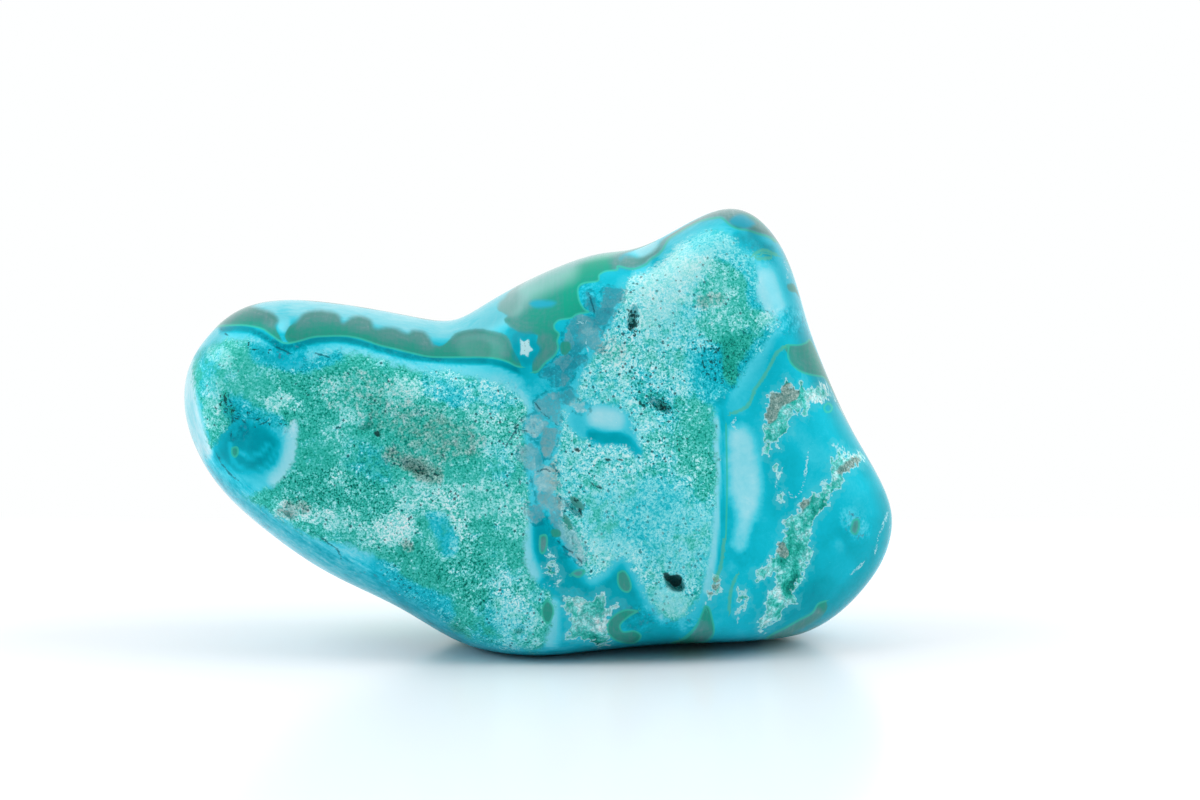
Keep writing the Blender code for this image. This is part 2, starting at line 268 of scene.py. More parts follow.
FROST = (  # thin pale lines
    ((561, 512), (562, 520), (568, 528), (575, 533)),
    ((556, 495), (562, 502), (561, 510)),
    ((784, 262), (787, 270), (787, 280)),
    ((549, 550), (552, 556), (553, 564), (557, 572), (561, 578), (557, 583)),
    ((553, 559), (547, 556)),
    ((554, 565), (545, 568)),
    ((557, 571), (550, 575)),
    ((548, 585), (554, 588)),
    ((889, 507), (885, 520), (879, 535), (875, 551)),
    ((862, 563), (856, 570), (851, 574)),
    ((786, 491), (792, 497), (799, 495), (804, 482), (808, 452)),
    ((734, 420), (731, 425), (736, 429)),
    ((580, 323), (586, 323)),
    ((586, 342), (588, 350)),
    ((578, 409), (583, 410)),
    ((782, 470), (776, 486), (784, 494)),
    ((741, 600), (738, 620)),
)
VEINS = (  # broad soft green lines
    ((784, 347), (776, 354), (770, 366), (763, 378), (755, 389), (751, 400), (745, 408), (733, 413)),
    ((724, 540), (721, 565), (716, 580)),
    ((736, 577), (731, 590), (729, 610)),
    ((754, 254), (764, 250), (776, 255)),
    ((758, 259), (770, 258)),
)
UPPER_RIM = ((205, 330), (225, 306), (300, 302), (360, 306), (430, 322), (465, 318))  # on the left
RIGHT_GRAIN = ((640, 320), (600, 460), (650, 540))

# Washes: the value, the reach where it is full, the reach where it ends, and the places along its stroke.
DEEP_BASE = 0.60
DEEP = (  # how dark the polished chrysocolla is, from pale sky at 0 to deep teal at 1
    # Along the upper rim the polish is paler: its own pale blue with a painted sheen over it, where the top catches
    # the light.
    (0.12, 10, 24, UPPER_RIM),
    (0.20, 12, 30, ((470, 325), (500, 308))),
    (0.08, 8, 16, ((630, 252), (650, 252))),
    (0.38, 6, 22, ((215, 345), (262, 352), (300, 362), (345, 354), (400, 364), (450, 370), (500, 376), (522, 392))),
    (0.62, 8, 20, ((272, 356), (292, 356))),
    (0.22, 4, 9, ((283, 311), (284, 326))),
    (0.92, 1.5, 5, ((222, 329), (250, 330), (285, 347), (312, 341), (345, 340), (379, 349), (412, 357), (455, 361),
                    (493, 362), (517, 370), (528, 374))),
    (0.34, 6, 16, ((500, 384), (522, 402), (548, 392))),
    (0.74, 7, 13, ((516, 336), (526, 348), (529, 362), (529, 370))),
    (0.76, 12, 26, ((620, 268), (600, 286), (584, 296))),
    (0.62, 14, 30, ((606, 284), (598, 300), (585, 318), (570, 340), (558, 368), (548, 380))),
    (0.54, 10, 24, ((560, 380), (548, 400), (556, 430), (540, 470), (545, 500))),
    (0.55, 4, 10, ((640, 272), (655, 266), (672, 244), (700, 228), (722, 224), (745, 240), (765, 250))),
    (0.78, 3, 7, ((656, 262), (657, 271))),
    (0.84, 4, 11, ((738, 240), (754, 246), (768, 252))),
    (0.12, 7, 27, ((768, 284), (772, 294), (781, 306))),
    (0.60, 4, 16, ((784, 262), (790, 282), (797, 304))),
    (0.50, 8, 20, ((760, 330), (764, 350), (750, 380), (738, 402))),
    (0.88, 5, 14, ((728, 378), (718, 396))),
    (0.62, 8, 20, ((790, 325), (776, 380), (760, 410))),
    (0.24, 2, 6, ((716, 420), (717, 480), (715, 540), (707, 590))),
    (0.72, 1.0, 4, ((722, 408), (723, 470), (722, 530), (719, 560))),
    (0.62, 8, 26, ((745, 432), (747, 470), (744, 515), (738, 560))),
    (0.22, 3, 12, ((743, 528), (739, 544))),
    (0.90, 18, 34, ((236, 440), (251, 446), (253, 456))),
    (0.90, 6, 16, ((232, 420), (238, 430))),
    (0.44, 4, 12, ((276, 474), (256, 482), (236, 480))),
    (0.12, 4, 14, ((292, 424), (291, 450), (285, 468), (277, 479))),
    (0.62, 1, 4, ((240, 452), (250, 457), (262, 452), (268, 444))),
    (0.64, 1, 4, ((230, 444), (234, 462), (250, 471), (266, 465), (277, 448))),
    # The palest polish, down the left rim, is a painted reflection of the white surround at the grazing edge.
    (-0.02, 8, 15, ((185, 366), (186, 400), (193, 430), (201, 452))),
    (0.54, 10, 24, ((212, 478), (262, 516), (330, 556), (400, 600), (450, 628))),
    (0.32, 3, 9, ((205, 482), (250, 518), (330, 568), (398, 606))),
    (0.42, 10, 18, ((345, 556), (368, 562))),
    (0.76, 8, 18, ((382, 566), (400, 586), (412, 600))),
    (0.66, 10, 22, ((440, 628), (470, 646), (520, 656), (640, 650))),
    (0.46, 20, 26, ((584, 418), (604, 424), (624, 436))),
    (-0.02, 4, 17, ((598, 417), (614, 419))),
    (0.84, 3, 9, ((592, 435), (604, 438), (618, 438), (628, 443), (636, 453))),
    (0.84, 14, 26, ((538, 535), (537, 560), (552, 580), (580, 585), (606, 578), (622, 566), (640, 592), (652, 612))),
    (0.84, 12, 20, ((556, 545), (575, 562))),
    (0.78, 10, 18, ((600, 585), (640, 622), (665, 630))),
    (0.34, 5, 12, ((551, 606), (552, 640))),
    (0.24, 5, 14, ((522, 524), (524, 552), (532, 574))),
    (0.72, 26, 56, ((790, 612), (830, 590), (858, 556))),
    (0.84, 4, 24, ((780, 614), (800, 604), (816, 594))),
    (0.58, 8, 24, ((842, 470), (868, 500))),
    (0.36, 3, 15, ((850, 518), (860, 530))),
    (0.52, 4, 9, ((838, 546), (838, 550))),
    (0.52, 4, 20, ((800, 440), (818, 455))),
    (0.64, 6, 20, ((832, 560), (846, 572))),
    (0.70, 10, 30, ((780, 460), (784, 500))),
    (0.79, 8, 22, ((814, 340), (826, 376), (845, 415), (880, 475), (893, 515), (880, 565), (850, 603), (822, 632))),
)
TONE_BASE = 0.42
TONE = (  # how pale the grains are
    (0.66, 60, 90, RIGHT_GRAIN),
    (0.50, 14, 34, ((250, 365), (262, 400))),
    (0.66, 6, 14, ((214, 385), (213, 420))),
    (0.74, 5, 12, ((214, 352), (224, 360))),
    (0.78, 5, 12, ((274, 404), (282, 400))),
    (0.58, 8, 20, ((330, 392), (362, 388))),
    (0.74, 7, 20, ((398, 392), (410, 388))),
    (0.62, 16, 40, ((450, 380), (490, 400), (505, 440))),
    (0.62, 5, 14, ((346, 412), (356, 418))),
    (0.58, 8, 22, ((330, 440), (344, 446))),
    (0.66, 6, 14, ((336, 478), (336, 479))),
    (0.68, 10, 24, ((410, 496), (450, 496))),
    (0.66, 10, 30, ((450, 505), (500, 500), (520, 520))),
    (0.72, 6, 14, ((284, 510), (310, 514))),
    (0.72, 5, 13, ((324, 516), (334, 522))),
    (0.88, 8, 20, ((380, 534), (402, 528))),
    (0.62, 6, 18, ((350, 520), (372, 544))),
    (0.66, 12, 26, ((455, 505), (446, 540))),
    (0.46, 4, 12, ((436, 524), (446, 536), (440, 548))),
    (0.66, 14, 30, ((510, 590), (520, 630))),
    (0.36, 8, 24, ((306, 440), (314, 470), (300, 490))),
    (0.20, 6, 16, ((268, 350), (300, 358))),
    (0.36, 5, 13, ((228, 400), (244, 416), (262, 422), (276, 426))),
    (0.10, 3, 8, ((234, 412), (238, 424))),
    (0.38, 6, 18, ((430, 570), (450, 590), (480, 570))),
    (0.34, 8, 20, ((405, 590), (425, 606))),
    (1.18, 12, 34, ((655, 275), (690, 252), (650, 300))),
    (0.78, 8, 18, ((700, 240), (720, 244), (736, 252))),
    (0.90, 4, 12, ((643, 306), (650, 312))),
    (0.58, 8, 34, ((726, 285), (724, 310), (732, 330))),
    (0.60, 8, 20, ((745, 250), (752, 262))),
    (0.80, 3, 8, ((761, 284), (764, 298))),
    (0.68, 3, 9, ((718, 286), (726, 290))),
    (0.68, 4, 12, ((764, 320), (776, 324))),
    (0.32, 9, 23, ((711, 364), (724, 368), (735, 348))),
    (0.10, 5, 14, ((728, 346), (731, 362), (736, 384))),
    (0.24, 3, 10, ((748, 334), (744, 350), (742, 360))),
    (0.15, 5, 12, ((788, 560), (792, 576), (790, 588))),
    (0.20, 5, 12, ((820, 500), (812, 512))),
    (0.05, 5, 12, ((584, 646), (594, 640))),
    (0.66, 8, 18, ((764, 612), (770, 596))),
    (0.70, 8, 18, ((815, 394), (826, 390))),
    (0.64, 8, 18, ((836, 474), (850, 460))),
    (0.66, 8, 18, ((604, 610), (596, 622))),
    (0.52, 8, 22, ((640, 385), (665, 405), (690, 420))),
    (0.52, 8, 22, ((690, 450), (706, 500))),
    (0.60, 12, 30, ((672, 480), (640, 520))),
    (0.94, 7, 17, ((666, 598), (676, 606))),
    (0.74, 8, 20, ((606, 345), (620, 372))),
    (0.82, 8, 20, ((590, 545), (604, 560))),
    (0.88, 4, 10, ((620, 546), (632, 552))),
)
SMOKE_BASE = 0.40
SMOKE = (  # how pale the quartz is
    (0.15, 6, 12, ((590, 294), (592, 309))),
    (0.22, 8, 16, ((612, 294), (602, 318))),
    (0.30, 8, 16, ((574, 330), (578, 345))),
    (0.55, 6, 12, ((586, 336), (594, 338))),
    (0.18, 8, 16, ((576, 358), (560, 380))),
    (0.15, 4, 9, ((546, 370), (552, 371))),
    (0.52, 8, 14, ((547, 404), (550, 414))),
    (0.25, 5, 9, ((566, 396), (571, 400))),
    (0.85, 5, 9, ((576, 407), (582, 409))),
    (0.70, 8, 14, ((532, 424), (540, 430))),
    (0.45, 8, 14, ((550, 436), (548, 448))),
    (0.60, 8, 14, ((530, 450), (528, 460))),
    (0.72, 9, 15, ((544, 474), (546, 488))),
    (0.62, 8, 14, ((548, 500), (556, 508))),
    (0.40, 6, 12, ((534, 512), (538, 516))),
    (0.45, 6, 10, ((556, 517), (558, 523))),
    (0.68, 6, 12, ((566, 533), (577, 552))),
)
BROKEN = (  # how broken and mottled the polish is
    (0.80, 8, 20, ((586, 292), (600, 300), (606, 318), (586, 330), (570, 360), (560, 385))),
    (0.60, 8, 18, ((540, 420), (536, 455), (545, 490), (556, 520), (572, 550))),
    (0.35, 8, 20, ((505, 392), (540, 396), (560, 380))),
    (1.10, 8, 18, ((764, 322), (795, 320))),
    (0.50, 8, 20, ((735, 248), (760, 256))),
    (1.00, 5, 16, ((850, 518), (860, 530))),
    (0.60, 10, 24, ((205, 470), (240, 500), (320, 545), (400, 590), (450, 625))),
    (0.60, 6, 16, ((228, 400), (236, 430), (262, 410), (285, 430))),
    (0.45, 6, 14, ((275, 350), (330, 354), (380, 354), (440, 366))),
    (0.95, 5, 15, ((254, 342), (275, 350), (304, 356))),
    (0.50, 8, 20, ((570, 600), (600, 610), (640, 620))),
    (0.90, 4, 12, ((642, 612), (660, 617), (690, 624))),
)
BLUE_BASE = 0.22
BLUE = (  # how far the grains turn from green to cyan
    (0.55, 60, 90, RIGHT_GRAIN),
    (0.95, 8, 20, ((262, 350), (300, 358), (330, 352))),
    (0.72, 8, 20, ((236, 410), (262, 422), (274, 426))),
    (0.60, 14, 30, ((440, 378), (500, 392))),
    (0.98, 4, 14, ((442, 392), (456, 398))),
    (0.48, 8, 22, ((352, 452), (378, 470))),
    (0.80, 6, 16, ((438, 520), (450, 546))),
    (0.90, 8, 22, ((378, 574), (400, 592), (440, 610))),
    (0.98, 12, 28, ((707, 355), (714, 384), (735, 390))),
    (0.18, 8, 36, ((730, 286), (728, 330))),
    (0.85, 8, 20, ((690, 246), (716, 244), (740, 256), (756, 270), (760, 296))),
    (0.10, 6, 16, ((734, 346), (735, 376))),
    (0.80, 4, 15, ((776, 328), (760, 350), (748, 370))),
    (0.55, 6, 16, ((212, 350), (210, 372), (208, 390))),
    (0.85, 12, 36, ((660, 500), (640, 540))),
    (0.55, 20, 40, ((510, 600), (500, 640))),
    (0.50, 6, 20, ((498, 452), (502, 470))),
)
BROWN = (  # tan matrix showing through
    (0.42, 14, 40, ((372, 396), (410, 420), (440, 440))),
    (0.70, 3, 16, ((392, 456), (404, 462))),
    (0.80, 4, 16, ((416, 466), (426, 474), (434, 476))),
    (0.50, 10, 26, ((440, 440), (470, 440))),
    (0.60, 3, 14, ((284, 513), (292, 506), (303, 508))),
    (0.55, 3, 10, ((406, 544), (410, 548))),
    (0.36, 12, 26, ((335, 392), (362, 388))),
    (0.62, 4, 12, ((703, 302), (718, 298))),
    (0.40, 8, 20, ((606, 346), (616, 352))),
    (1.00, 5, 14, ((768, 414), (774, 400), (790, 392))),
    (0.60, 3, 9, ((806, 500), (798, 508))),
    (0.80, 3, 8, ((780, 546), (784, 553))),
    (0.60, 3, 8, ((711, 590), (716, 582))),
    (0.60, 3, 9, ((842, 470), (856, 462))),
    (0.80, 3, 7, ((541, 499), (549, 500))),
    (0.50, 5, 12, ((548, 434), (556, 510))),
)
COARSE_BASE = 0.95
COARSE = (  # how strong the grain is
    (0.58, 16, 34, ((212, 362), (240, 380), (250, 360))),
    (0.80, 16, 30, ((270, 440), (310, 460), (280, 480))),
    (1.15, 14, 36, ((300, 395), (350, 400), (440, 395), (500, 410))),
    (1.45, 14, 34, ((300, 500), (350, 490), (390, 525))),
    (1.40, 12, 34, ((440, 510), (460, 560), (500, 600))),
    (0.55, 6, 18, ((434, 522), (448, 548))),
    (0.80, 10, 26, ((520, 640), (500, 620))),
    (0.70, 14, 34, ((650, 270), (690, 250), (670, 310))),
    (0.55, 8, 20, ((700, 240), (724, 240), (744, 256), (756, 280))),
    (0.90, 14, 34, ((728, 285), (726, 310))),
    (1.20, 14, 34, ((610, 350), (650, 380), (665, 405))),
    (1.20, 14, 34, ((600, 460), (650, 450), (700, 470))),
    (0.60, 24, 50, ((620, 520), (660, 520), (690, 545))),
    (0.45, 8, 18, ((664, 596), (678, 606))),
)
PORES = (  # how thick the dark pores lie
    (0.20, 200, 400, ((400, 450), (650, 450))),
    (0.90, 4, 13, ((392, 456), (404, 460))),
    (1.15, 3, 12, ((416, 468), (428, 475), (436, 478))),
    (0.90, 3, 9, ((309, 393), (316, 396))),
    (0.85, 4, 12, ((376, 405), (380, 408))),
    (0.80, 3, 10, ((344, 440), (352, 444))),
    (0.90, 4, 12, ((298, 502), (304, 506))),
    (0.90, 8, 20, ((640, 385), (652, 400), (668, 408))),
    (1.20, 8, 20, ((708, 352), (716, 372), (728, 352))),
    (1.10, 5, 14, ((226, 400), (234, 414), (256, 424), (282, 428))),
    (1.10, 5, 14, ((250, 340), (268, 348), (292, 352))),
    (0.60, 5, 12, ((312, 350), (330, 352))),
    (0.75, 8, 22, ((664, 452), (690, 440))),
    (1.60, 3, 9, ((632, 314), (634, 334))),
    (1.30, 3, 10, ((644, 398), (648, 402), (664, 408))),
    (0.80, 5, 14, ((514, 420), (516, 460))),
    (0.80, 4, 12, ((526, 630), (532, 640))),
    (1.10, 3, 8, ((574, 501), (580, 507))),
    (1.00, 2, 7, ((566, 520), (569, 526))),
    (0.90, 8, 18, ((730, 345), (736, 380))),
    (0.90, 6, 16, ((385, 572), (410, 600))),
)
PAINTED_SHADE_WASHES = (  # painted shade: how much darker the stone is made where its top and rims catch more of the lamps' light
    (0.24, 14, 26, ((190, 345), *UPPER_RIM, (500, 300))),
    (0.06, 10, 24, ((545, 272), (600, 252), (625, 252))),
    (0.20, 8, 15, ((296, 330), (340, 328), (380, 338), (430, 348), (480, 350))),
    (0.22, 10, 24, ((655, 250), (672, 232), (700, 215), (730, 208), (765, 226))),
    (0.40, 3, 8, ((753, 232), (766, 237))),
    (0.27, 10, 26, ((778, 243), (794, 281), (812, 340), (830, 385))),
    (0.22, 6, 16, ((186, 366), (184, 400), (190, 436), (198, 456))),
    (0.24, 8, 22, ((205, 482), (250, 518), (330, 568), (398, 606), (450, 632))),
    (0.10, 20, 40, ((880, 520), (860, 570), (820, 610))),
)
CAVES = (  # open holes
    ((590, 482), (595, 484), (603, 487), (602, 490), (594, 487)),
    ((605, 458), (611, 459), (610, 462), (605, 461)),
    ((617, 458), (623, 459), (622, 461), (617, 460)),
    ((575, 448), (580, 449), (579, 452), (575, 451)),
    ((579, 508), (582, 511), (582, 516), (579, 513)),
    ((662, 573), (666, 571), (671, 575), (676, 574), (682, 577), (682, 583), (676, 587), (669, 583), (664, 579)),
    ((374, 432), (379, 432), (380, 436), (376, 437)),
)
OLIVE_BASE = 0.32
OLIVE = (  # how grey the malachite is
    (0.78, 4, 15, ((214, 322), (236, 311), (250, 308), (266, 312), (272, 320))),
    (0.76, 4, 15, ((300, 320), (318, 313), (333, 315), (352, 319), (370, 324), (396, 332), (420, 334), (428, 342))),
    (0.62, 3, 14, ((458, 337), (480, 333), (500, 338))),
    (0.60, 3, 10, ((505, 352), (508, 345))),
    (0.70, 5, 14, ((504, 302), (522, 303))),
    (0.58, 5, 16, ((514, 312), (512, 324), (524, 330))),
    (0.60, 3, 12, ((565, 303), (580, 309))),
    (0.65, 4, 12, ((545, 342), (550, 352), (540, 362))),
    # Along the field's upper rim the grey is raised further: partly the malachite's grey crown, partly a painted
    # sheen of the white reflection there.
    (0.95, 8, 24, ((505, 288), (520, 274), (560, 254), (600, 244))),
    (0.02, 6, 17, ((606, 262), (588, 272), (574, 288), (573, 308))),
    (0.80, 10, 20, ((625, 262), (650, 255), (672, 232))),
    (0.95, 10, 20, ((690, 218), (715, 210), (726, 212))),
    (0.85, 5, 12, ((750, 228), (764, 232))),
    (0.58, 8, 20, ((800, 352), (815, 368))),
    (0.75, 6, 14, ((700, 630), (706, 640))),
    (0.80, 5, 12, ((780, 634), (800, 626), (815, 616))),
    (0.80, 3, 8, ((543, 543), (543, 546))),
    (0.66, 4, 9, ((855, 522), (855, 532))),
    (0.80, 3, 8, ((578, 573), (579, 574))),
    (0.50, 4, 9, ((624, 580), (626, 588))),
    (0.50, 6, 12, ((614, 622), (625, 638))),
    (0.55, 4, 8, ((790, 287), (796, 287))),
    (0.55, 6, 12, ((566, 518), (578, 504))),
)
PAINTED_SHEEN_WASHES = (  # painted sheen: how far the malachite is lightened towards the white reflection on its upturned rim
    (0.42, 6, 24, ((508, 300), (530, 284), (562, 268))),
    (0.36, 2, 10, ((560, 262), (590, 254), (612, 250))),
    (0.45, 5, 14, ((500, 303), (512, 306))),
    (0.12, 8, 18, ((470, 346), (492, 352))),
)
HALO_BASE = 0.14
HALO = (  # how pale the polish turns beside the grains
    (0.42, 10, 24, ((590, 585), (606, 575), (622, 560), (640, 590), (655, 610))),
    (0.30, 10, 20, ((560, 540), (580, 565))),
    (0.02, 16, 30, ((249, 445), (248, 458))),
    (0.00, 20, 34, ((600, 420), (610, 425))),
    (0.05, 8, 20, ((272, 352), (292, 354))),
)
STREAKS = (  # how streaky the polish is along the rim
    (0.55, 8, 20, UPPER_RIM),
    (1.00, 12, 26, ((196, 450), (215, 482), (262, 518), (330, 560), (400, 602), (450, 630))),
    (0.60, 8, 18, ((186, 350), (186, 400), (192, 440))),
    (0.60, 8, 18, ((450, 632), (520, 652), (640, 650))),
    (0.70, 14, 34, ((440, 556), (470, 590), (500, 630))),
    (0.45, 10, 22, ((735, 440), (742, 480), (738, 560))),
    (0.40, 6, 14, ((655, 262), (676, 246), (700, 230), (724, 228))),
)
SILHOUETTE = (
    (184, 403), (188, 364), (203, 339), (230, 313), (262, 302), (305, 301), (360, 307), (410, 316), (442, 322),
    (462, 318), (500, 295), (545, 272), (600, 252), (640, 249), (668, 236), (700, 215), (726, 207), (752, 215),
    (778, 243), (794, 281), (812, 340), (845, 419), (878, 477), (893, 515), (882, 560), (850, 603), (818, 632),
    (785, 646), (720, 648), (660, 650), (600, 655), (545, 660), (500, 657), (456, 641), (398, 608), (326, 572),
    (272, 535), (222, 491), (195, 445),
)


def rgb(red, green, blue):
    """A display colour, 0 to 255, as the linear colour that a shader takes."""
    return tuple((c / 255 / 12.92) if c <= 10 else ((c / 255 + 0.055) / 1.055) ** 2.4 for c in (red, green, blue))


# Laying the markings out on the stone.


def curve_through(points, closed):
    """A smooth polyline through the points: a Catmull-Rom spline."""
    p = np.array(points, float)
    if not closed:
        p = np.vstack([2 * p[0] - p[1], p, 2 * p[-1] - p[-2]])
    before, here, after, beyond = (np.roll(p, shift, axis=0) for shift in (1, 0, -1, -2))
    t = np.linspace(0, 1, CURVE_PARTS + 1)[:-1, None, None]
    bend = 2 * here + (after - before) * t + (2 * before - 5 * here + 4 * after - beyond) * t**2
    line = (bend + (3 * (here - after) + beyond - before) * t**3) / 2
    line = line.transpose(1, 0, 2)
    if closed:
        line = line.reshape(-1, 2)
        return np.vstack([line, line[:1]])
    return np.vstack([line[1:-2].reshape(-1, 2), p[-2:-1]])


def gap_and_side(line, at):
    """Distance from each place to a polyline, and which side of its nearest stretch the place is on."""
    start, run = line[:-1], np.diff(line, axis=0)
    length2 = np.maximum((run**2).sum(-1), 1e-9)
    here = at[:, None] - start
    share = np.clip((here * run).sum(-1) / length2, 0, 1)
    off = here - share[..., None] * run
    gap2 = (off**2).sum(-1)
    nearest = gap2.argmin(-1)
    row = np.arange(len(at))
    side = np.sign(run[nearest, 0] * here[row, nearest, 1] - run[nearest, 1] * here[row, nearest, 0])
    return np.sqrt(gap2[row, nearest]), side


def within(line, at):
    """Which places are inside a closed polyline."""
    start, end = line[:-1], line[1:]
    across, down = at[:, :1], at[:, 1:]
    above = (start[:, 1] > down) != (end[:, 1] > down)
    drop = np.where(end[:, 1] == start[:, 1], 1, end[:, 1] - start[:, 1])
    crossing = start[:, 0] + (down - start[:, 1]) * (end[:, 0] - start[:, 0]) / drop
    return (above & (across < crossing)).sum(-1) % 2 == 1


def near_to(line, at, reach):
    """The rows of the places in a polyline's box, widened by the reach."""
    low, high = line.min(0) - reach, line.max(0) + reach
    return np.flatnonzero(((at > low) & (at < high)).all(-1))


def depth_in(outlines, at, angular=False):
    """Steps into the nearest of some outlines: above 0 inside, and never past CLIP either way."""
    depth = np.full(len(at), -CLIP)
    for outline in outlines:
        line = np.array(outline + outline[:1], float) if angular else curve_through(outline, True)
        near = near_to(line, at, CLIP)
        gap, _ = gap_and_side(line, at[near])
        gap = np.minimum(gap, CLIP) * np.where(within(line, at[near]), 1, -1)
        depth[near] = np.maximum(depth[near], gap)
    return depth


def beside(strokes, at):
    """Signed distance from the nearest of some strokes, and its plain distance."""
    aside, gap = np.full(len(at), CLIP), np.full(len(at), CLIP)
    for stroke in strokes:
        line = curve_through(stroke, False)
        near = near_to(line, at, CLIP)
        here, side = gap_and_side(line, at[near])
        closer = here < gap[near]
        aside[near] = np.where(closer, here * side, aside[near])
        gap[near] = np.where(closer, here, gap[near])
    return aside, gap


def eased(value):
    """Rises smoothly from 0 at 0 to 1 at 1, and stays there."""
    value = np.clip(value, 0, 1)
    return value * value * (3 - 2 * value)


def eased_between(value, ends):
    """Rises smoothly from 0 at the first end to 1 at the other."""
    return eased((value - ends[0]) / (ends[1] - ends[0]))


def washed(base, washes, at):
    """A soft value over the plan: washes laid over a base, one after another."""
    value = np.full(len(at), float(base))
    for tint, full, end, stroke in washes:
        line = curve_through(stroke, False)
        near = near_to(line, at, end)
        gap, _ = gap_and_side(line, at[near])
        value[near] += (tint - value[near]) * eased((end - gap) / (end - full))
    return value


def plan_of(points, normals):
    """Plan places of mesh points in mm: seen along the sight lines, then turned and swayed behind the rim."""
    ahead = np.array((0, math.cos(SIGHT_DIP), -math.sin(SIGHT_DIP)))
    up = np.array((0, math.sin(SIGHT_DIP), math.cos(SIGHT_DIP)))
    line = points - SIGHT_FROM
    reach = line @ ahead
    across = PLAN_MIDDLE[0] + SIGHT_STEPS * line[:, 0] / reach
    down = PLAN_MIDDLE[1] - SIGHT_STEPS * (line @ up) / reach
    behind = (points - RIM_PLACE) @ ahead
    towards = -(normals * line).sum(-1) / np.linalg.norm(line, axis=-1)
    hidden = eased((TURN_SLOPE - towards) / TURN_SLOPE)
    share = hidden * eased_between(behind, TURN_DEPTH)
    angle, width = TURN * share, 1 + TURN_WIDTH * share
    aside, below = across - TURN_MIDDLE[0], down - TURN_MIDDLE[1]
    sway = SWAY * hidden * eased_between(behind, SWAY_DEPTH)
    swayed_across, swayed_down = (
        sway * sum(np.sin((points / lengths).sum(-1) + start) * part for lengths, start, part in waves)
        for waves in SWAYS
    )
    return np.stack([
        TURN_MIDDLE[0] + width * (aside * np.cos(angle) - below * np.sin(angle)) + swayed_across,
        TURN_MIDDLE[1] + width * (aside * np.sin(angle) + below * np.cos(angle)) + swayed_down,
    ], axis=-1)


def markings(mesh):
    """The value of every marking at a mesh's points, by name, painted shade and painted sheen among them."""
    at = plan_of(points_mm(mesh), normals_of(mesh))
    lines = {}
    rims = tuple(MALACHITE[name] + MALACHITE[name][:1] for name in OUTLINED)
    for name, strokes in (("thread", THREADS + rims), ("vein", VEINS), ("crack", CRACKS), ("frost", FROST)):
        lines[name], lines[name + "_gap"] = beside(strokes, at)
    return {
        **lines,
        "malachite": depth_in(MALACHITE.values(), at),
        "blue_lens": depth_in(BLUE_LENSES, at),
        "grain": np.minimum(depth_in(GRAINS, at), -depth_in(GLAZED, at)),
        "quartz": depth_in(QUARTZ, at, angular=True),
        "breccia": depth_in(BRECCIA, at, angular=True),
        "star": depth_in((STAR,), at, angular=True),
        "cave": depth_in(CAVES, at),
        "pale_band": depth_in((PALE_BAND,), at),
        "edge": depth_in((SILHOUETTE,), at),
        "deep": washed(DEEP_BASE, DEEP, at),
        "tone": washed(TONE_BASE, TONE, at),
        "smoke": washed(SMOKE_BASE, SMOKE, at),
        "coarse": washed(COARSE_BASE, COARSE, at),
        "dim": washed(0, PAINTED_SHADE_WASHES, at),
        "broken": washed(0, BROKEN, at),
        "blue": washed(BLUE_BASE, BLUE, at),
        "brown": washed(0, BROWN, at),
        "pores": washed(0, PORES, at),
        "olive": washed(OLIVE_BASE, OLIVE, at),
        "sheen": washed(0, PAINTED_SHEEN_WASHES, at),
        "streaks": washed(0, STREAKS, at),
        "halo": washed(HALO_BASE, HALO, at),
    }


# The stone's own mesh.


def points_mm(mesh):
    points = np.empty(len(mesh.vertices) * 3)
    mesh.vertices.foreach_get("co", points)
    return points.reshape(-1, 3) / MM


def normals_of(mesh):
    normals = np.empty(len(mesh.vertices) * 3)
    mesh.vertex_normals.foreach_get("vector", normals)
    return normals.reshape(-1, 3)


def skin_of(node):
    """A smooth copy of a solid's skin: its loose triangles joined into quads and rounded."""
    bm = bmesh.new()
    bm.from_mesh(bpy.data.objects[node].data)
    bmesh.ops.remove_doubles(bm, verts=bm.verts, dist=MERGE)
    bmesh.ops.join_triangles(
        bm, faces=bm.faces, angle_face_threshold=FLAT_ENOUGH, angle_shape_threshold=FLAT_ENOUGH
    )
    mesh = bpy.data.meshes.new(node + "_skin")
    bm.to_mesh(mesh)
    bm.free()
    rounder = bpy.data.objects.new(node + "_rounding", mesh)
    bpy.context.scene.collection.objects.link(rounder)
    smooth = rounder.modifiers.new("round", "SUBSURF")
    smooth.levels = smooth.render_levels = ROUNDINGS
    graph = bpy.context.evaluated_depsgraph_get()
    finished = bpy.data.meshes.new_from_object(rounder.evaluated_get(graph))
    bpy.data.objects.remove(rounder)
    bpy.data.meshes.remove(mesh)
    return finished


def cut_crisp_cells(mesh):
    """Cuts the cells of the mesh in four where the edge of a marking crosses them."""
    fields = markings(mesh)
    crisp = np.zeros(len(mesh.vertices), bool)
    for name, reach in CRISP.items():
        crisp |= np.abs(fields[name]) < reach
    crisp &= normals_of(mesh)[:, 1] < CRISP_SLOPE
    bm = bmesh.new()
    bm.from_mesh(mesh)
    faces = [face for face in bm.faces if any(crisp[vert.index] for vert in face.verts)]
    edges = dict.fromkeys(edge for face in faces for edge in face.edges)
    bmesh.ops.subdivide_edges(bm, edges=list(edges), cuts=1, use_grid_fill=True)
    bm.to_mesh(mesh)
    bm.free()


def mark(mesh):
    """Keeps every marking as an attribute of the mesh's points."""
    for name, values in markings(mesh).items():
        layer = mesh.attributes.new(name, "FLOAT", "POINT")
        layer.data.foreach_set("value", values.astype(np.float32))


# Material recipes.


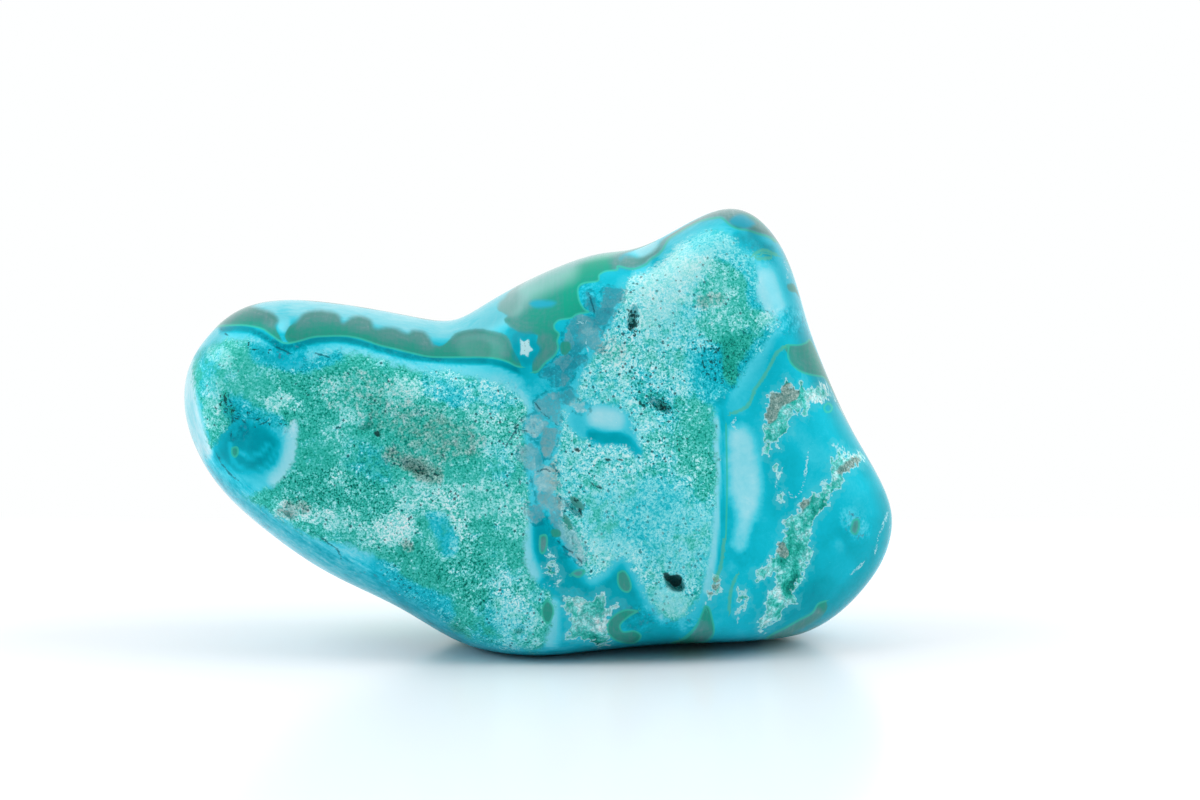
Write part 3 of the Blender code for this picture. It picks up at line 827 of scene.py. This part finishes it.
class Value:
    """A number or colour that varies over a surface. Arithmetic on it adds Math nodes to its recipe."""

    def __init__(self, recipe, socket):
        self.recipe = recipe
        self.socket = socket

    def maths(self, operation, *others):
        inputs = dict(enumerate((self, *others)))
        return self.recipe.node("ShaderNodeMath", {"operation": operation}, inputs)

    def __add__(self, other):
        return self.maths("ADD", other)

    __radd__ = __add__

    def __mul__(self, other):
        return self.maths("MULTIPLY", other)

    __rmul__ = __mul__

    def __sub__(self, other):
        return self.maths("SUBTRACT", other)

    def __rsub__(self, other):
        return self.maths("MULTIPLY_ADD", -1.0, other)

    def rise(self, low, high):
        """0 below low, 1 above high, eased between. With low above high, it falls instead."""
        inputs = {"Value": self, "From Min": low, "From Max": high}
        if low > high:
            inputs = {"Value": self, "From Min": high, "From Max": low, "To Min": 1.0, "To Max": 0.0}
        return self.recipe.node("ShaderNodeMapRange", {"interpolation_type": "SMOOTHSTEP"}, inputs)

    def band(self, middle, half, soft):
        """1 within half of the middle, falling to 0 over the soft reach."""
        return (self - middle).maths("ABSOLUTE").rise(half + soft, half)

    def least(self, other):
        return self.maths("MINIMUM", other)

    def most(self, other):
        return self.maths("MAXIMUM", other)


class Recipe:
    """A material or a world built from nodes."""

    def __init__(self, owner):
        owner.use_nodes = True
        self.owner = owner
        self.tree = owner.node_tree
        self.tree.nodes.clear()

    def node(self, kind, settings=None, inputs=None, output=0):
        """Adds a node: its settings first, then the values or links of its inputs. Gives one output."""
        node = self.tree.nodes.new(kind)
        for name, setting in (settings or {}).items():
            if name == "stops":
                self._set_stops(node.color_ramp, setting)
            else:
                setattr(node, name, setting)
        for name, value in (inputs or {}).items():
            if isinstance(value, Value):
                self.tree.links.new(value.socket, node.inputs[name])
            else:
                node.inputs[name].default_value = value
        return Value(self, node.outputs[output]) if node.outputs else None

    @staticmethod
    def _set_stops(ramp, stops):
        while len(ramp.elements) < len(stops):
            ramp.elements.new(1.0)
        for element, (place, colour) in zip(ramp.elements, stops):
            element.position = place
            element.color = (*colour, 1.0)

    def mix(self, share, base, over):
        """A colour over another, by its share."""
        colours = {0: share}
        for socket, colour in ((6, base), (7, over)):
            colours[socket] = colour if isinstance(colour, Value) else (*colour, 1.0)
        return self.node("ShaderNodeMix", {"data_type": "RGBA"}, colours, 2)

    def shade(self, value, stops):
        """A colour from a ramp."""
        return self.node("ShaderNodeValToRGB", {"stops": stops}, {"Fac": value})

    def field(self, name):
        """A marking, as the mesh keeps it."""
        settings = {"attribute_type": "GEOMETRY", "attribute_name": name}
        return self.node("ShaderNodeAttribute", settings, output="Fac")

    def spot(self, *shift):
        """The place on the piece, in mm."""
        here = self.node("ShaderNodeTexCoord", output="Object")
        return self.node(
            "ShaderNodeMapping",
            inputs={"Vector": here, "Scale": (1 / MM,) * 3, "Location": shift or (0.0, 0.0, 0.0)},
        )

    def part(self, vector, axis):
        """The x, y or z of a vector, by the axis's number."""
        return self.node("ShaderNodeSeparateXYZ", inputs={0: vector}, output=axis)

    def vector(self, x, y, z):
        return self.node("ShaderNodeCombineXYZ", inputs={0: x, 1: y, 2: z})

    def noise(self, spot, per_mm, detail=3.0, roughness=0.6, distortion=0.0):
        """Noise around 0: mostly within 0.25 of it."""
        inputs = {"Vector": spot, "Scale": per_mm, "Detail": detail, "Roughness": roughness}
        return self.node("ShaderNodeTexNoise", inputs={**inputs, "Distortion": distortion}) - 0.5

    def cells(self, spot, per_mm, output="Distance"):
        """Distance from the middle of a cell, or its own random colour."""
        return self.node("ShaderNodeTexVoronoi", inputs={"Vector": spot, "Scale": per_mm}, output=output)


# Colours. The ramps hold display colours, from 0 at the first stop to 1 at the last.

POLISHED = (
    (0.00, (200, 232, 239)), (0.20, (146, 218, 229)), (0.48, (74, 203, 220)), (0.68, (16, 182, 202)),
    (0.84, (2, 160, 176)), (1.00, (0, 130, 146)),
)
GREEN_GRAIN = (
    (0.00, (6, 62, 60)), (0.16, (10, 112, 102)), (0.31, (24, 154, 136)), (0.45, (50, 182, 168)),
    (0.58, (92, 204, 198)), (0.72, (150, 223, 223)), (0.88, (206, 242, 242)), (1.00, (234, 251, 251)),
)
BLUE_GRAIN = (
    (0.00, (0, 84, 98)), (0.16, (0, 128, 144)), (0.31, (6, 160, 176)), (0.45, (26, 184, 200)),
    (0.58, (80, 206, 216)), (0.72, (146, 225, 230)), (0.88, (206, 243, 245)), (1.00, (234, 251, 252)),
)
MALACHITE_GREENS = (
    (0.00, (22, 164, 138)), (0.20, (42, 158, 140)), (0.38, (66, 154, 144)), (0.56, (88, 152, 148)),
    (0.70, (112, 158, 158)), (1.00, (150, 200, 202)),
)
QUARTZES = (
    (0.00, (24, 104, 120)), (0.25, (58, 136, 150)), (0.50, (102, 160, 170)), (0.75, (142, 190, 196)),
    (1.00, (194, 224, 224)),
)
MATRIX = (
    (0.00, (40, 78, 74)), (0.30, (92, 128, 122)), (0.60, (140, 168, 160)), (1.00, (188, 214, 208)),
)
SMEAR = rgb(68, 124, 150)  # grey blue streaks and bruises in the polish
PORE_IN_GRAIN = rgb(10, 84, 92)
QUARTZ_DUST = rgb(154, 162, 152)
QUARTZ_RIM = rgb(10, 122, 138)
RUBBLE_LACE = rgb(20, 118, 116)
RUBBLE_SKIN = rgb(178, 233, 238)
RUBBLE_HALO = rgb(96, 208, 218)
PAINTED_SHEEN_PALE = rgb(184, 228, 226)  # colour of the painted sheen, the white reflection on the malachite's upturned rim
LENS_BLUE = rgb(38, 172, 196)
THREAD_GREEN = rgb(58, 198, 172)
VEIN_GREEN = rgb(88, 192, 154)
CRACK_TEAL = rgb(12, 88, 100)
FROST_WHITE = rgb(180, 234, 240)
STAR_RIM = rgb(4, 150, 170)
STAR_BRIGHT = rgb(186, 234, 240)
STAR_GREY = rgb(120, 170, 170)
# Pits and holes: their own dark filling, deepened with painted shade inside them.
PIT_FILL_AND_SHADE = rgb(18, 72, 72)
CAVE_FILL_AND_SHADE = rgb(12, 34, 34)
PAINTED_SHADE_BLACK = (0.0, 0.0, 0.0)
SURROUND_WHITE = rgb(254, 255, 255)


def stops(colours, lightness=1.16):
    """The stops of a ramp from display colours, a little lighter than they are."""
    return [(place, tuple(min(c * lightness, 1.0) for c in rgb(*colour))) for place, colour in colours]


class StoneRecipe(Recipe):
    """The stone's material, with the noises and the values that its layers share."""

    def __init__(self, material, look):
        super().__init__(material)
        grit = self.grit = MM / look.grit
        self.here = self.spot()
        self.there = self.spot(31.0, 17.0, 53.0)
        self.x, self.z = self.part(self.here, 0), self.part(self.here, 2)
        self.speck = self.noise(self.here, 4.8 * grit, 2.0, 0.6)
        self.fine = self.noise(self.there, 2.6 * grit, 3.0, 0.66)
        self.patch = self.noise(self.here, 0.95 * grit, 4.0, 0.62)
        self.blotch = self.noise(self.there, 0.42 * grit, 4.0, 0.62)
        self.wisp = self.noise(self.there, 0.34, 4.0, 0.6, 1.2)
        self.cloud = self.noise(self.there, 0.12, 3.0, 0.55)
        self.lace = self.noise(self.here, 0.9 * grit, 3.0, 0.65, 1.2).maths("ABSOLUTE")
        self.fine_lace = self.noise(self.there, 1.35 * grit, 2.0, 0.6, 1.0).maths("ABSOLUTE")
        grain = self.field("grain")
        self.beside_grain = grain.rise(-13.0, -1.0)
        self.grain = (grain + self.patch * 16.0 + self.fine * 12.0).rise(-3.0, 4.0)
        self.streaks = self.field("streaks")
        self.tone = self.field("tone") + self.blotch * 0.50 + self.cloud * 0.20
        bare = self.field("brown")
        mottle = self.patch * 1.3 + self.fine * 0.9 + self.speck * 0.4
        self.brown = (bare + mottle).rise(0.22, 0.84) * bare.rise(0.02, 0.25)


def chrysocolla(r):
    """The polished chrysocolla: streaked along its rim, and paler beside the grains. Its deep wash also carries a
    painted sheen on the upper rim and a painted reflection on the left rim.
    """
    along = r.vector(r.field("edge") * 0.42, r.x * 0.42, r.z * 0.42)
    streak = r.noise(along, 1.0, 4.0, 0.7) * r.streaks
    flecks = r.speck.rise(0.16, 0.26) * (r.wisp.rise(0.0, 0.12) * 0.7 + 0.1)
    broken = r.field("broken")
    deep = r.field("deep") + r.cloud * 0.20 + r.wisp * 0.20 + r.fine * 0.12 + streak * 1.1 - flecks * 0.3
    deep = deep + (r.patch + r.fine * 0.8) * broken
    deep = deep + (0.05 + r.wisp * 0.3 + streak - deep) * (r.field("pale_band") + r.patch * 7.0).rise(-7.0, 9.0)
    deep = deep - r.beside_grain * r.field("halo")
    smear = (streak - r.speck * 0.25).rise(0.14, 0.30) * r.streaks
    bruise = (r.patch * 1.2 - r.fine * 0.9).rise(0.14, 0.26) * broken
    return r.mix(smear.most(bruise) * 0.75, r.shade(deep * 0.8 + 0.2, stops(POLISHED)), SMEAR)


def with_grains(r, colour):
    """The grainy core: soft tones, with pale lace and dark specks in them."""
    blue = (r.field("blue") + r.blotch * 1.1 + r.patch * 1.1 + r.fine * 0.3).rise(0.28, 0.76)
    coarse = r.field("coarse")
    crust = r.tone + r.blotch * 0.30 + r.patch * 1.15 + r.fine * 0.75 + r.speck * 0.20 - 0.57
    crust = crust.rise(-0.14, 0.20)
    rings = (0.060 - r.lace).rise(-0.028, 0.028) * (r.speck + r.fine).rise(-0.20, 0.04)
    worms = (0.060 - r.fine_lace).rise(-0.030, 0.030) * (r.patch + r.speck).rise(-0.14, 0.06)
    combed = r.noise(r.vector((r.x + r.z) * 0.5, 0.0, (r.x - r.z) * 2.6), 1.0, 3.0, 0.6) * r.streaks
    rough_tone = (r.fine * 0.44 + r.speck * 0.56) * (crust * 0.20 + 0.88)
    rough_tone = rough_tone + rings * (crust * 0.14 + 0.05) + combed * 0.9
    rough_tone = rough_tone - (-0.06 - r.speck).rise(-0.03, 0.05) * 0.13
    ground = r.tone * 0.37 + 0.295
    ground = ground + (rough_tone + r.patch * 0.14 + crust * 0.20 - worms * (crust * 0.20 + 0.06)) * coarse
    ground = ground - (ground - 0.62).most(0.0) * 0.45
    grains = r.mix(blue, r.shade(ground, stops(GREEN_GRAIN)), r.shade(ground, stops(BLUE_GRAIN)))
    matrix = r.shade(0.36 + r.fine * 1.3 + r.speck * 1.5 + rings * 0.25, stops(MATRIX))
    grains = r.mix(r.brown * 0.75, grains, matrix)
    dots = r.cells(r.here, 1.35 * r.grit) + r.fine * 0.50
    common = r.patch + r.wisp * 0.7 + crust * 0.28 + r.field("pores") * 0.24 - 0.17
    pierced = (r.patch * 0.35 + 0.19 - dots).rise(-0.05, 0.05) * common.rise(0.0, 0.10)
    grains = r.mix(pierced * coarse.least(1.0) * 0.85, grains, PORE_IN_GRAIN)
    return r.mix(r.grain, colour, grains)


def with_quartz(r, colour):
    """Quartz crystals between the two grainy masses."""
    quartz = r.field("quartz") + r.fine * 6.0 + r.patch * 9.0 + 1.8
    facet = r.cells(r.there, 0.55, "Color")
    smoke = r.field("smoke") + facet * 0.36 - 0.18 + r.wisp * 0.5 + r.fine * 0.55 + r.speck * 0.35
    crystal = r.mix(r.brown * 0.55, r.shade(smoke, stops(QUARTZES)), QUARTZ_DUST)
    rim = quartz.band(-1.7, 0.6, 1.2) * (r.patch + 0.1).rise(0.0, 0.15)
    colour = r.mix(rim * 0.5, colour, QUARTZ_RIM)
    clear = quartz.rise(-1.2, 1.6) * (0.54 + facet * 0.34) * (r.wisp + r.fine + 0.5).rise(0.1, 0.5)
    return r.mix(clear, colour, crystal)


def with_rubble(r, colour):
    """Broken matrix with a pale skin, in the blue."""
    shard = r.cells(r.there, 1.3 * r.grit)
    breccia = r.field("breccia") - 1.4 + (shard - 0.42) * 8.0 + r.patch * 9.0 + r.fine * 8.0
    green = r.tone * 0.60 + 0.30 + r.blotch * 0.8 + r.patch + r.fine * 0.6 + r.speck * 0.3
    rubble = r.mix(
        (r.field("brown") + r.blotch * 0.6 + r.patch * 0.7).rise(0.3, 0.6),
        r.shade(green, stops(GREEN_GRAIN)),
        r.shade(0.50 + r.fine * 1.5 + r.speck, stops(MATRIX)),
    )
    rubble = r.mix((0.045 - r.lace).rise(-0.02, 0.02) * 0.4, rubble, RUBBLE_LACE)
    colour = r.mix(breccia.rise(-0.6, 1.0), colour, rubble)
    skin = breccia.band(0.2, 0.4, 0.9) * (r.patch + r.fine + 0.24).rise(0.0, 0.2)
    colour = r.mix(skin * 0.8, colour, RUBBLE_SKIN)
    return r.mix(breccia.band(-3.0, 1.0, 3.0) * 0.25, colour, RUBBLE_HALO)


def with_malachite(r, colour):
    """Malachite: grey on its crowns, with faint rings and fibres, a painted sheen on its upturned rim, and the blue
    lenses in it.
    """
    malachite = r.field("malachite") + r.patch * 2.5
    ripples = (malachite * 1.3 + r.wisp * 6.0).maths("SINE")
    fibres = r.noise(r.vector(r.x * 2.4, 0.0, r.z * 0.4), 1.0, 3.0, 0.6)
    olive = r.field("olive")
    sheen = r.field("sheen")
    grey = olive + r.wisp * 0.6 + r.fine * 0.45 + fibres * 0.50 + ripples * 0.04
    # Painted sheen: the malachite is lightened towards pale where its upper rim mirrors the white surround.
    body = r.mix(sheen + fibres * 0.3 * sheen, r.shade(grey * 0.7, stops(MALACHITE_GREENS, 1.02)), PAINTED_SHEEN_PALE)
    firm = malachite.rise(-1.0, 1.0)
    loose = malachite.rise(-3.0, 3.5)
    colour = r.mix(firm + (loose - firm) * olive.rise(0.4, 0.8), colour, body)
    lens = r.field("blue_lens") + r.patch * 2.0
    return r.mix(lens.rise(-2.4, 2.8), colour, LENS_BLUE)


def line_of(r, name, wander, half, soft, reach):
    """A thin line along the strokes of a marking, pushed about by the wander and let go at the reach's ends."""
    return (r.field(name) + wander).band(0.0, half, soft) * r.field(name + "_gap").rise(*reach)


def with_lines(r, colour):
    """Green threads and veins, dark cracks, frosty lines, and the star of clear crystals."""
    fine, patch = r.fine, r.patch
    thread = line_of(r, "thread", 0.0, 0.35, 1.1, (4.5, 2.5))
    vein = line_of(r, "vein", fine * 4.0, 0.7, 2.0, (8.0, 4.0))
    crack = line_of(r, "crack", fine * 3.0 + patch * 2.0, 0.4, 1.0, (4.5, 2.5))
    frost = line_of(r, "frost", fine * 5.0 + patch * 3.0, 0.5, 1.1, (5.0, 2.5))
    colour = r.mix(thread * 0.75, colour, THREAD_GREEN)
    colour = r.mix(vein * 0.65, colour, VEIN_GREEN)
    colour = r.mix(crack * (patch + r.wisp + 0.12).rise(0.0, 0.12) * 0.75, colour, CRACK_TEAL)
    colour = r.mix(frost * (r.speck + fine + r.wisp).rise(-0.02, 0.14) * 0.8, colour, FROST_WHITE)
    star = r.field("star") + fine * 2.5
    colour = r.mix(star.band(-5.0, 1.0, 4.0) * 0.5, colour, STAR_RIM)
    return r.mix(star.rise(-0.8, 0.6), colour, r.mix(fine.rise(0.1, 0.2), STAR_BRIGHT, STAR_GREY))


def stone_finish(look):
    """The polished stone: its layers of colour, its pores and open holes darkened partly with painted shade, the
    painted shade on its top and rims, and its polish.
    """
    r = StoneRecipe(bpy.data.materials.new("polished_stone"), look)
    colour = chrysocolla(r)
    for layer in (with_grains, with_quartz, with_rubble, with_malachite, with_lines):
        colour = layer(r, colour)

    pit = r.noise(r.there, 2.2 * r.grit, 3.0, 0.6)
    polished = 1.0 - r.grain.most(r.beside_grain * 0.8)
    hole = (pit + r.patch * 0.5 + 0.31 - r.field("pores") * 0.20 + polished * 0.3).rise(0.02, -0.03)
    cave = (r.field("cave") + r.patch * 5.0 + r.fine * 4.0).rise(-0.5, 1.2)
    hole = hole.most(cave)
    # The pits and open holes are darkened: partly their own dark filling, partly painted shade inside them.
    colour = r.mix(hole * 0.9, colour, r.mix(cave, PIT_FILL_AND_SHADE, CAVE_FILL_AND_SHADE))
    # Painted shade: the top and rims are darkened towards black, where the lamps light them more.
    colour = r.mix(r.field("dim"), colour, PAINTED_SHADE_BLACK)

    rough = look.roughness + r.grain * 0.10 + r.brown * r.grain * 0.12 + hole * 0.4
    height = r.grain * (r.fine * 0.8 + r.patch * 0.6) - hole * 1.2
    normal = r.node("ShaderNodeBump", inputs={"Strength": 0.35, "Distance": 0.08 * MM, "Height": height})
    shader = r.node("ShaderNodeBsdfPrincipled", inputs={
        "Base Color": colour, "Roughness": rough, "Normal": normal, "Specular IOR Level": look.shine,
    })
    r.node("ShaderNodeOutputMaterial", inputs={"Surface": shader})
    return r.owner


def floor_finish(look):
    """A satin white table, a touch cool, that turns as white as the surround behind the stone."""
    r = Recipe(bpy.data.materials.new("white_table"))
    spot = r.spot()
    cloud = r.noise(spot, 0.012, 3.0, 0.5)
    colour = r.mix(0.5 + cloud * 1.5, look.floor, tuple(c * 0.97 for c in look.floor))
    table = r.node("ShaderNodeBsdfPrincipled", inputs={
        "Base Color": colour, "Roughness": 0.22, "Specular IOR Level": 0.3,
    })
    glow = r.node("ShaderNodeEmission", inputs={"Color": (*SURROUND_WHITE, 1.0), "Strength": look.surround})
    far = (r.part(spot, 1) + cloud * FLOOR_CLOUD).rise(*FLOOR_FADE)
    faded = r.node("ShaderNodeMixShader", inputs={0: far, 1: table, 2: glow})
    r.node("ShaderNodeOutputMaterial", inputs={"Surface": faded})
    r.owner.cycles.emission_sampling = "NONE"
    return r.owner


def surround_finish(look):
    """The white surround, darker on the side behind the camera."""
    r = Recipe(bpy.data.worlds.new("surround"))
    direction = r.node("ShaderNodeTexCoord", output="Generated")
    low, high = SURROUND_FADE
    strength = r.node("ShaderNodeMapRange", {"interpolation_type": "SMOOTHSTEP"}, {
        "Value": r.part(direction, 1), "From Min": low, "From Max": high,
        "To Min": look.front, "To Max": look.surround,
    })
    light = r.node("ShaderNodeBackground", inputs={"Color": (*SURROUND_WHITE, 1.0), "Strength": strength})
    r.node("ShaderNodeOutputWorld", inputs={"Surface": light})
    return r.owner


# What a user may change.


class StoneLook(bpy.types.PropertyGroup):
    grit: FloatProperty(
        name="Grit", description="How coarse the grainy core is, against 1 mm as it was found",
        default=0.001, min=0.0003, max=0.004, unit="LENGTH",
    )
    roughness: FloatProperty(
        name="Roughness", description="Roughness of the polish", default=0.17, min=0.02, max=1.0, subtype="FACTOR",
    )
    shine: FloatProperty(
        name="Shine", description="How strongly the polish mirrors", default=0.04, min=0.0, max=1.0, subtype="FACTOR",
    )


class StudioLook(bpy.types.PropertyGroup):
    floor: FloatVectorProperty(
        name="Floor", description="Colour of the table in front", subtype="COLOR", size=3, min=0.0, max=1.0,
        default=rgb(242, 245, 250),
    )
    surround: FloatProperty(
        name="Surround", description="Brightness of the white surround", default=1.0, min=0.0, max=5.0,
    )
    front: FloatProperty(
        name="Front", description="Brightness of the side behind the camera", default=0.1, min=0.0, max=5.0,
    )
    key: FloatProperty(
        name="Key", description="Power of the soft light on the left", default=3.0, min=0.0, max=50.0, unit="POWER",
    )
    fill: FloatProperty(
        name="Fill", description="Power of the soft light on the right", default=3.0, min=0.0, max=50.0, unit="POWER",
    )
    lens: FloatProperty(
        name="Lens", description="Focal length of the camera", default=100.0, min=10.0, max=400.0,
        subtype="DISTANCE_CAMERA",
    )


class STONE_OT_polish(bpy.types.Operator):
    """Make the polished stone with its markings"""

    bl_idname = "stone.polish"
    bl_label = "Polish Stone"

    def execute(self, context):
        mesh = skin_of("stone")
        cut_crisp_cells(mesh)
        mark(mesh)
        mesh.polygons.foreach_set("use_smooth", [True] * len(mesh.polygons))
        mesh.materials.clear()
        mesh.materials.append(stone_finish(context.scene.stone_look))
        piece = bpy.data.objects.new("polished_stone", mesh)
        context.scene.collection.objects.link(piece)
        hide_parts("stone")
        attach(piece, "root")
        return {"FINISHED"}


class STONE_OT_set_stage(bpy.types.Operator):
    """Set up the white table, the soft lights and the camera"""

    bl_idname = "stone.set_stage"
    bl_label = "Set Stage"

    def execute(self, context):
        look = context.scene.studio_look
        self.lay_floor(context, look)
        self.light(context, look)
        self.stand_camera(context, look)
        return {"FINISHED"}

    @staticmethod
    def lay_floor(context, look):
        mesh = bpy.data.meshes.new("floor")
        half = FLOOR_HALF
        corners = [(-half, -half, 0), (half, -half, 0), (half, half, 0), (-half, half, 0)]
        mesh.from_pydata(corners, [], [(0, 1, 2, 3)])
        mesh.materials.append(floor_finish(look))
        floor = bpy.data.objects.new("floor", mesh)
        context.scene.collection.objects.link(floor)

    @staticmethod
    def light(context, look):
        context.scene.world = surround_finish(look)
        context.scene.view_settings.view_transform = "Standard"
        across, near, high = LAMP_PLACE
        for name, x, power in (("left_lamp", -across, look.key), ("right_lamp", across, look.fill)):
            lamp = bpy.data.lights.new(name, "AREA")
            lamp.size = LAMP_SIZE
            lamp.energy = power
            stand = bpy.data.objects.new(name, lamp)
            stand.location = (x, near, high)
            direction = [a - b for a, b in zip(LAMP_AIM, (x, near, high))]
            yaw = math.atan2(direction[0], -direction[1])
            pitch = math.atan2(math.hypot(direction[0], direction[1]), -direction[2])
            stand.rotation_euler = (pitch, 0.0, math.pi + yaw)
            context.scene.collection.objects.link(stand)

    @staticmethod
    def stand_camera(context, look):
        camera = bpy.data.cameras.new("camera")
        camera.lens = look.lens
        camera.sensor_width = SENSOR_WIDTH
        camera.dof.use_dof = False
        stand = bpy.data.objects.new("camera", camera)
        stand.location = tuple(c * MM for c in SIGHT_FROM)
        stand.rotation_euler = (math.pi / 2 - SIGHT_DIP, 0.0, 0.0)
        context.scene.collection.objects.link(stand)
        context.scene.camera = stand


class STONE_PT_panel(bpy.types.Panel):
    """Stone and studio"""

    bl_idname = "STONE_PT_panel"
    bl_label = "Stone"
    bl_space_type = "VIEW_3D"
    bl_region_type = "UI"
    bl_category = "Stone"

    def draw(self, context):
        for operator, look in (("stone.polish", "stone_look"), ("stone.set_stage", "studio_look")):
            box = self.layout.box()
            values = getattr(context.scene, look)
            for name in type(values).__annotations__:
                box.prop(values, name)
            box.operator(operator)


CLASSES = (StoneLook, StudioLook, STONE_OT_polish, STONE_OT_set_stage, STONE_PT_panel)


def register():
    for each in CLASSES:
        bpy.utils.register_class(each)
    bpy.types.Scene.stone_look = PointerProperty(type=StoneLook)
    bpy.types.Scene.studio_look = PointerProperty(type=StudioLook)


def unregister():
    del bpy.types.Scene.studio_look
    del bpy.types.Scene.stone_look
    for each in reversed(CLASSES):
        bpy.utils.unregister_class(each)


def main():
    register()
    bpy.ops.stone.polish()
    bpy.ops.stone.set_stage()


if __name__ == "__main__":
    main()
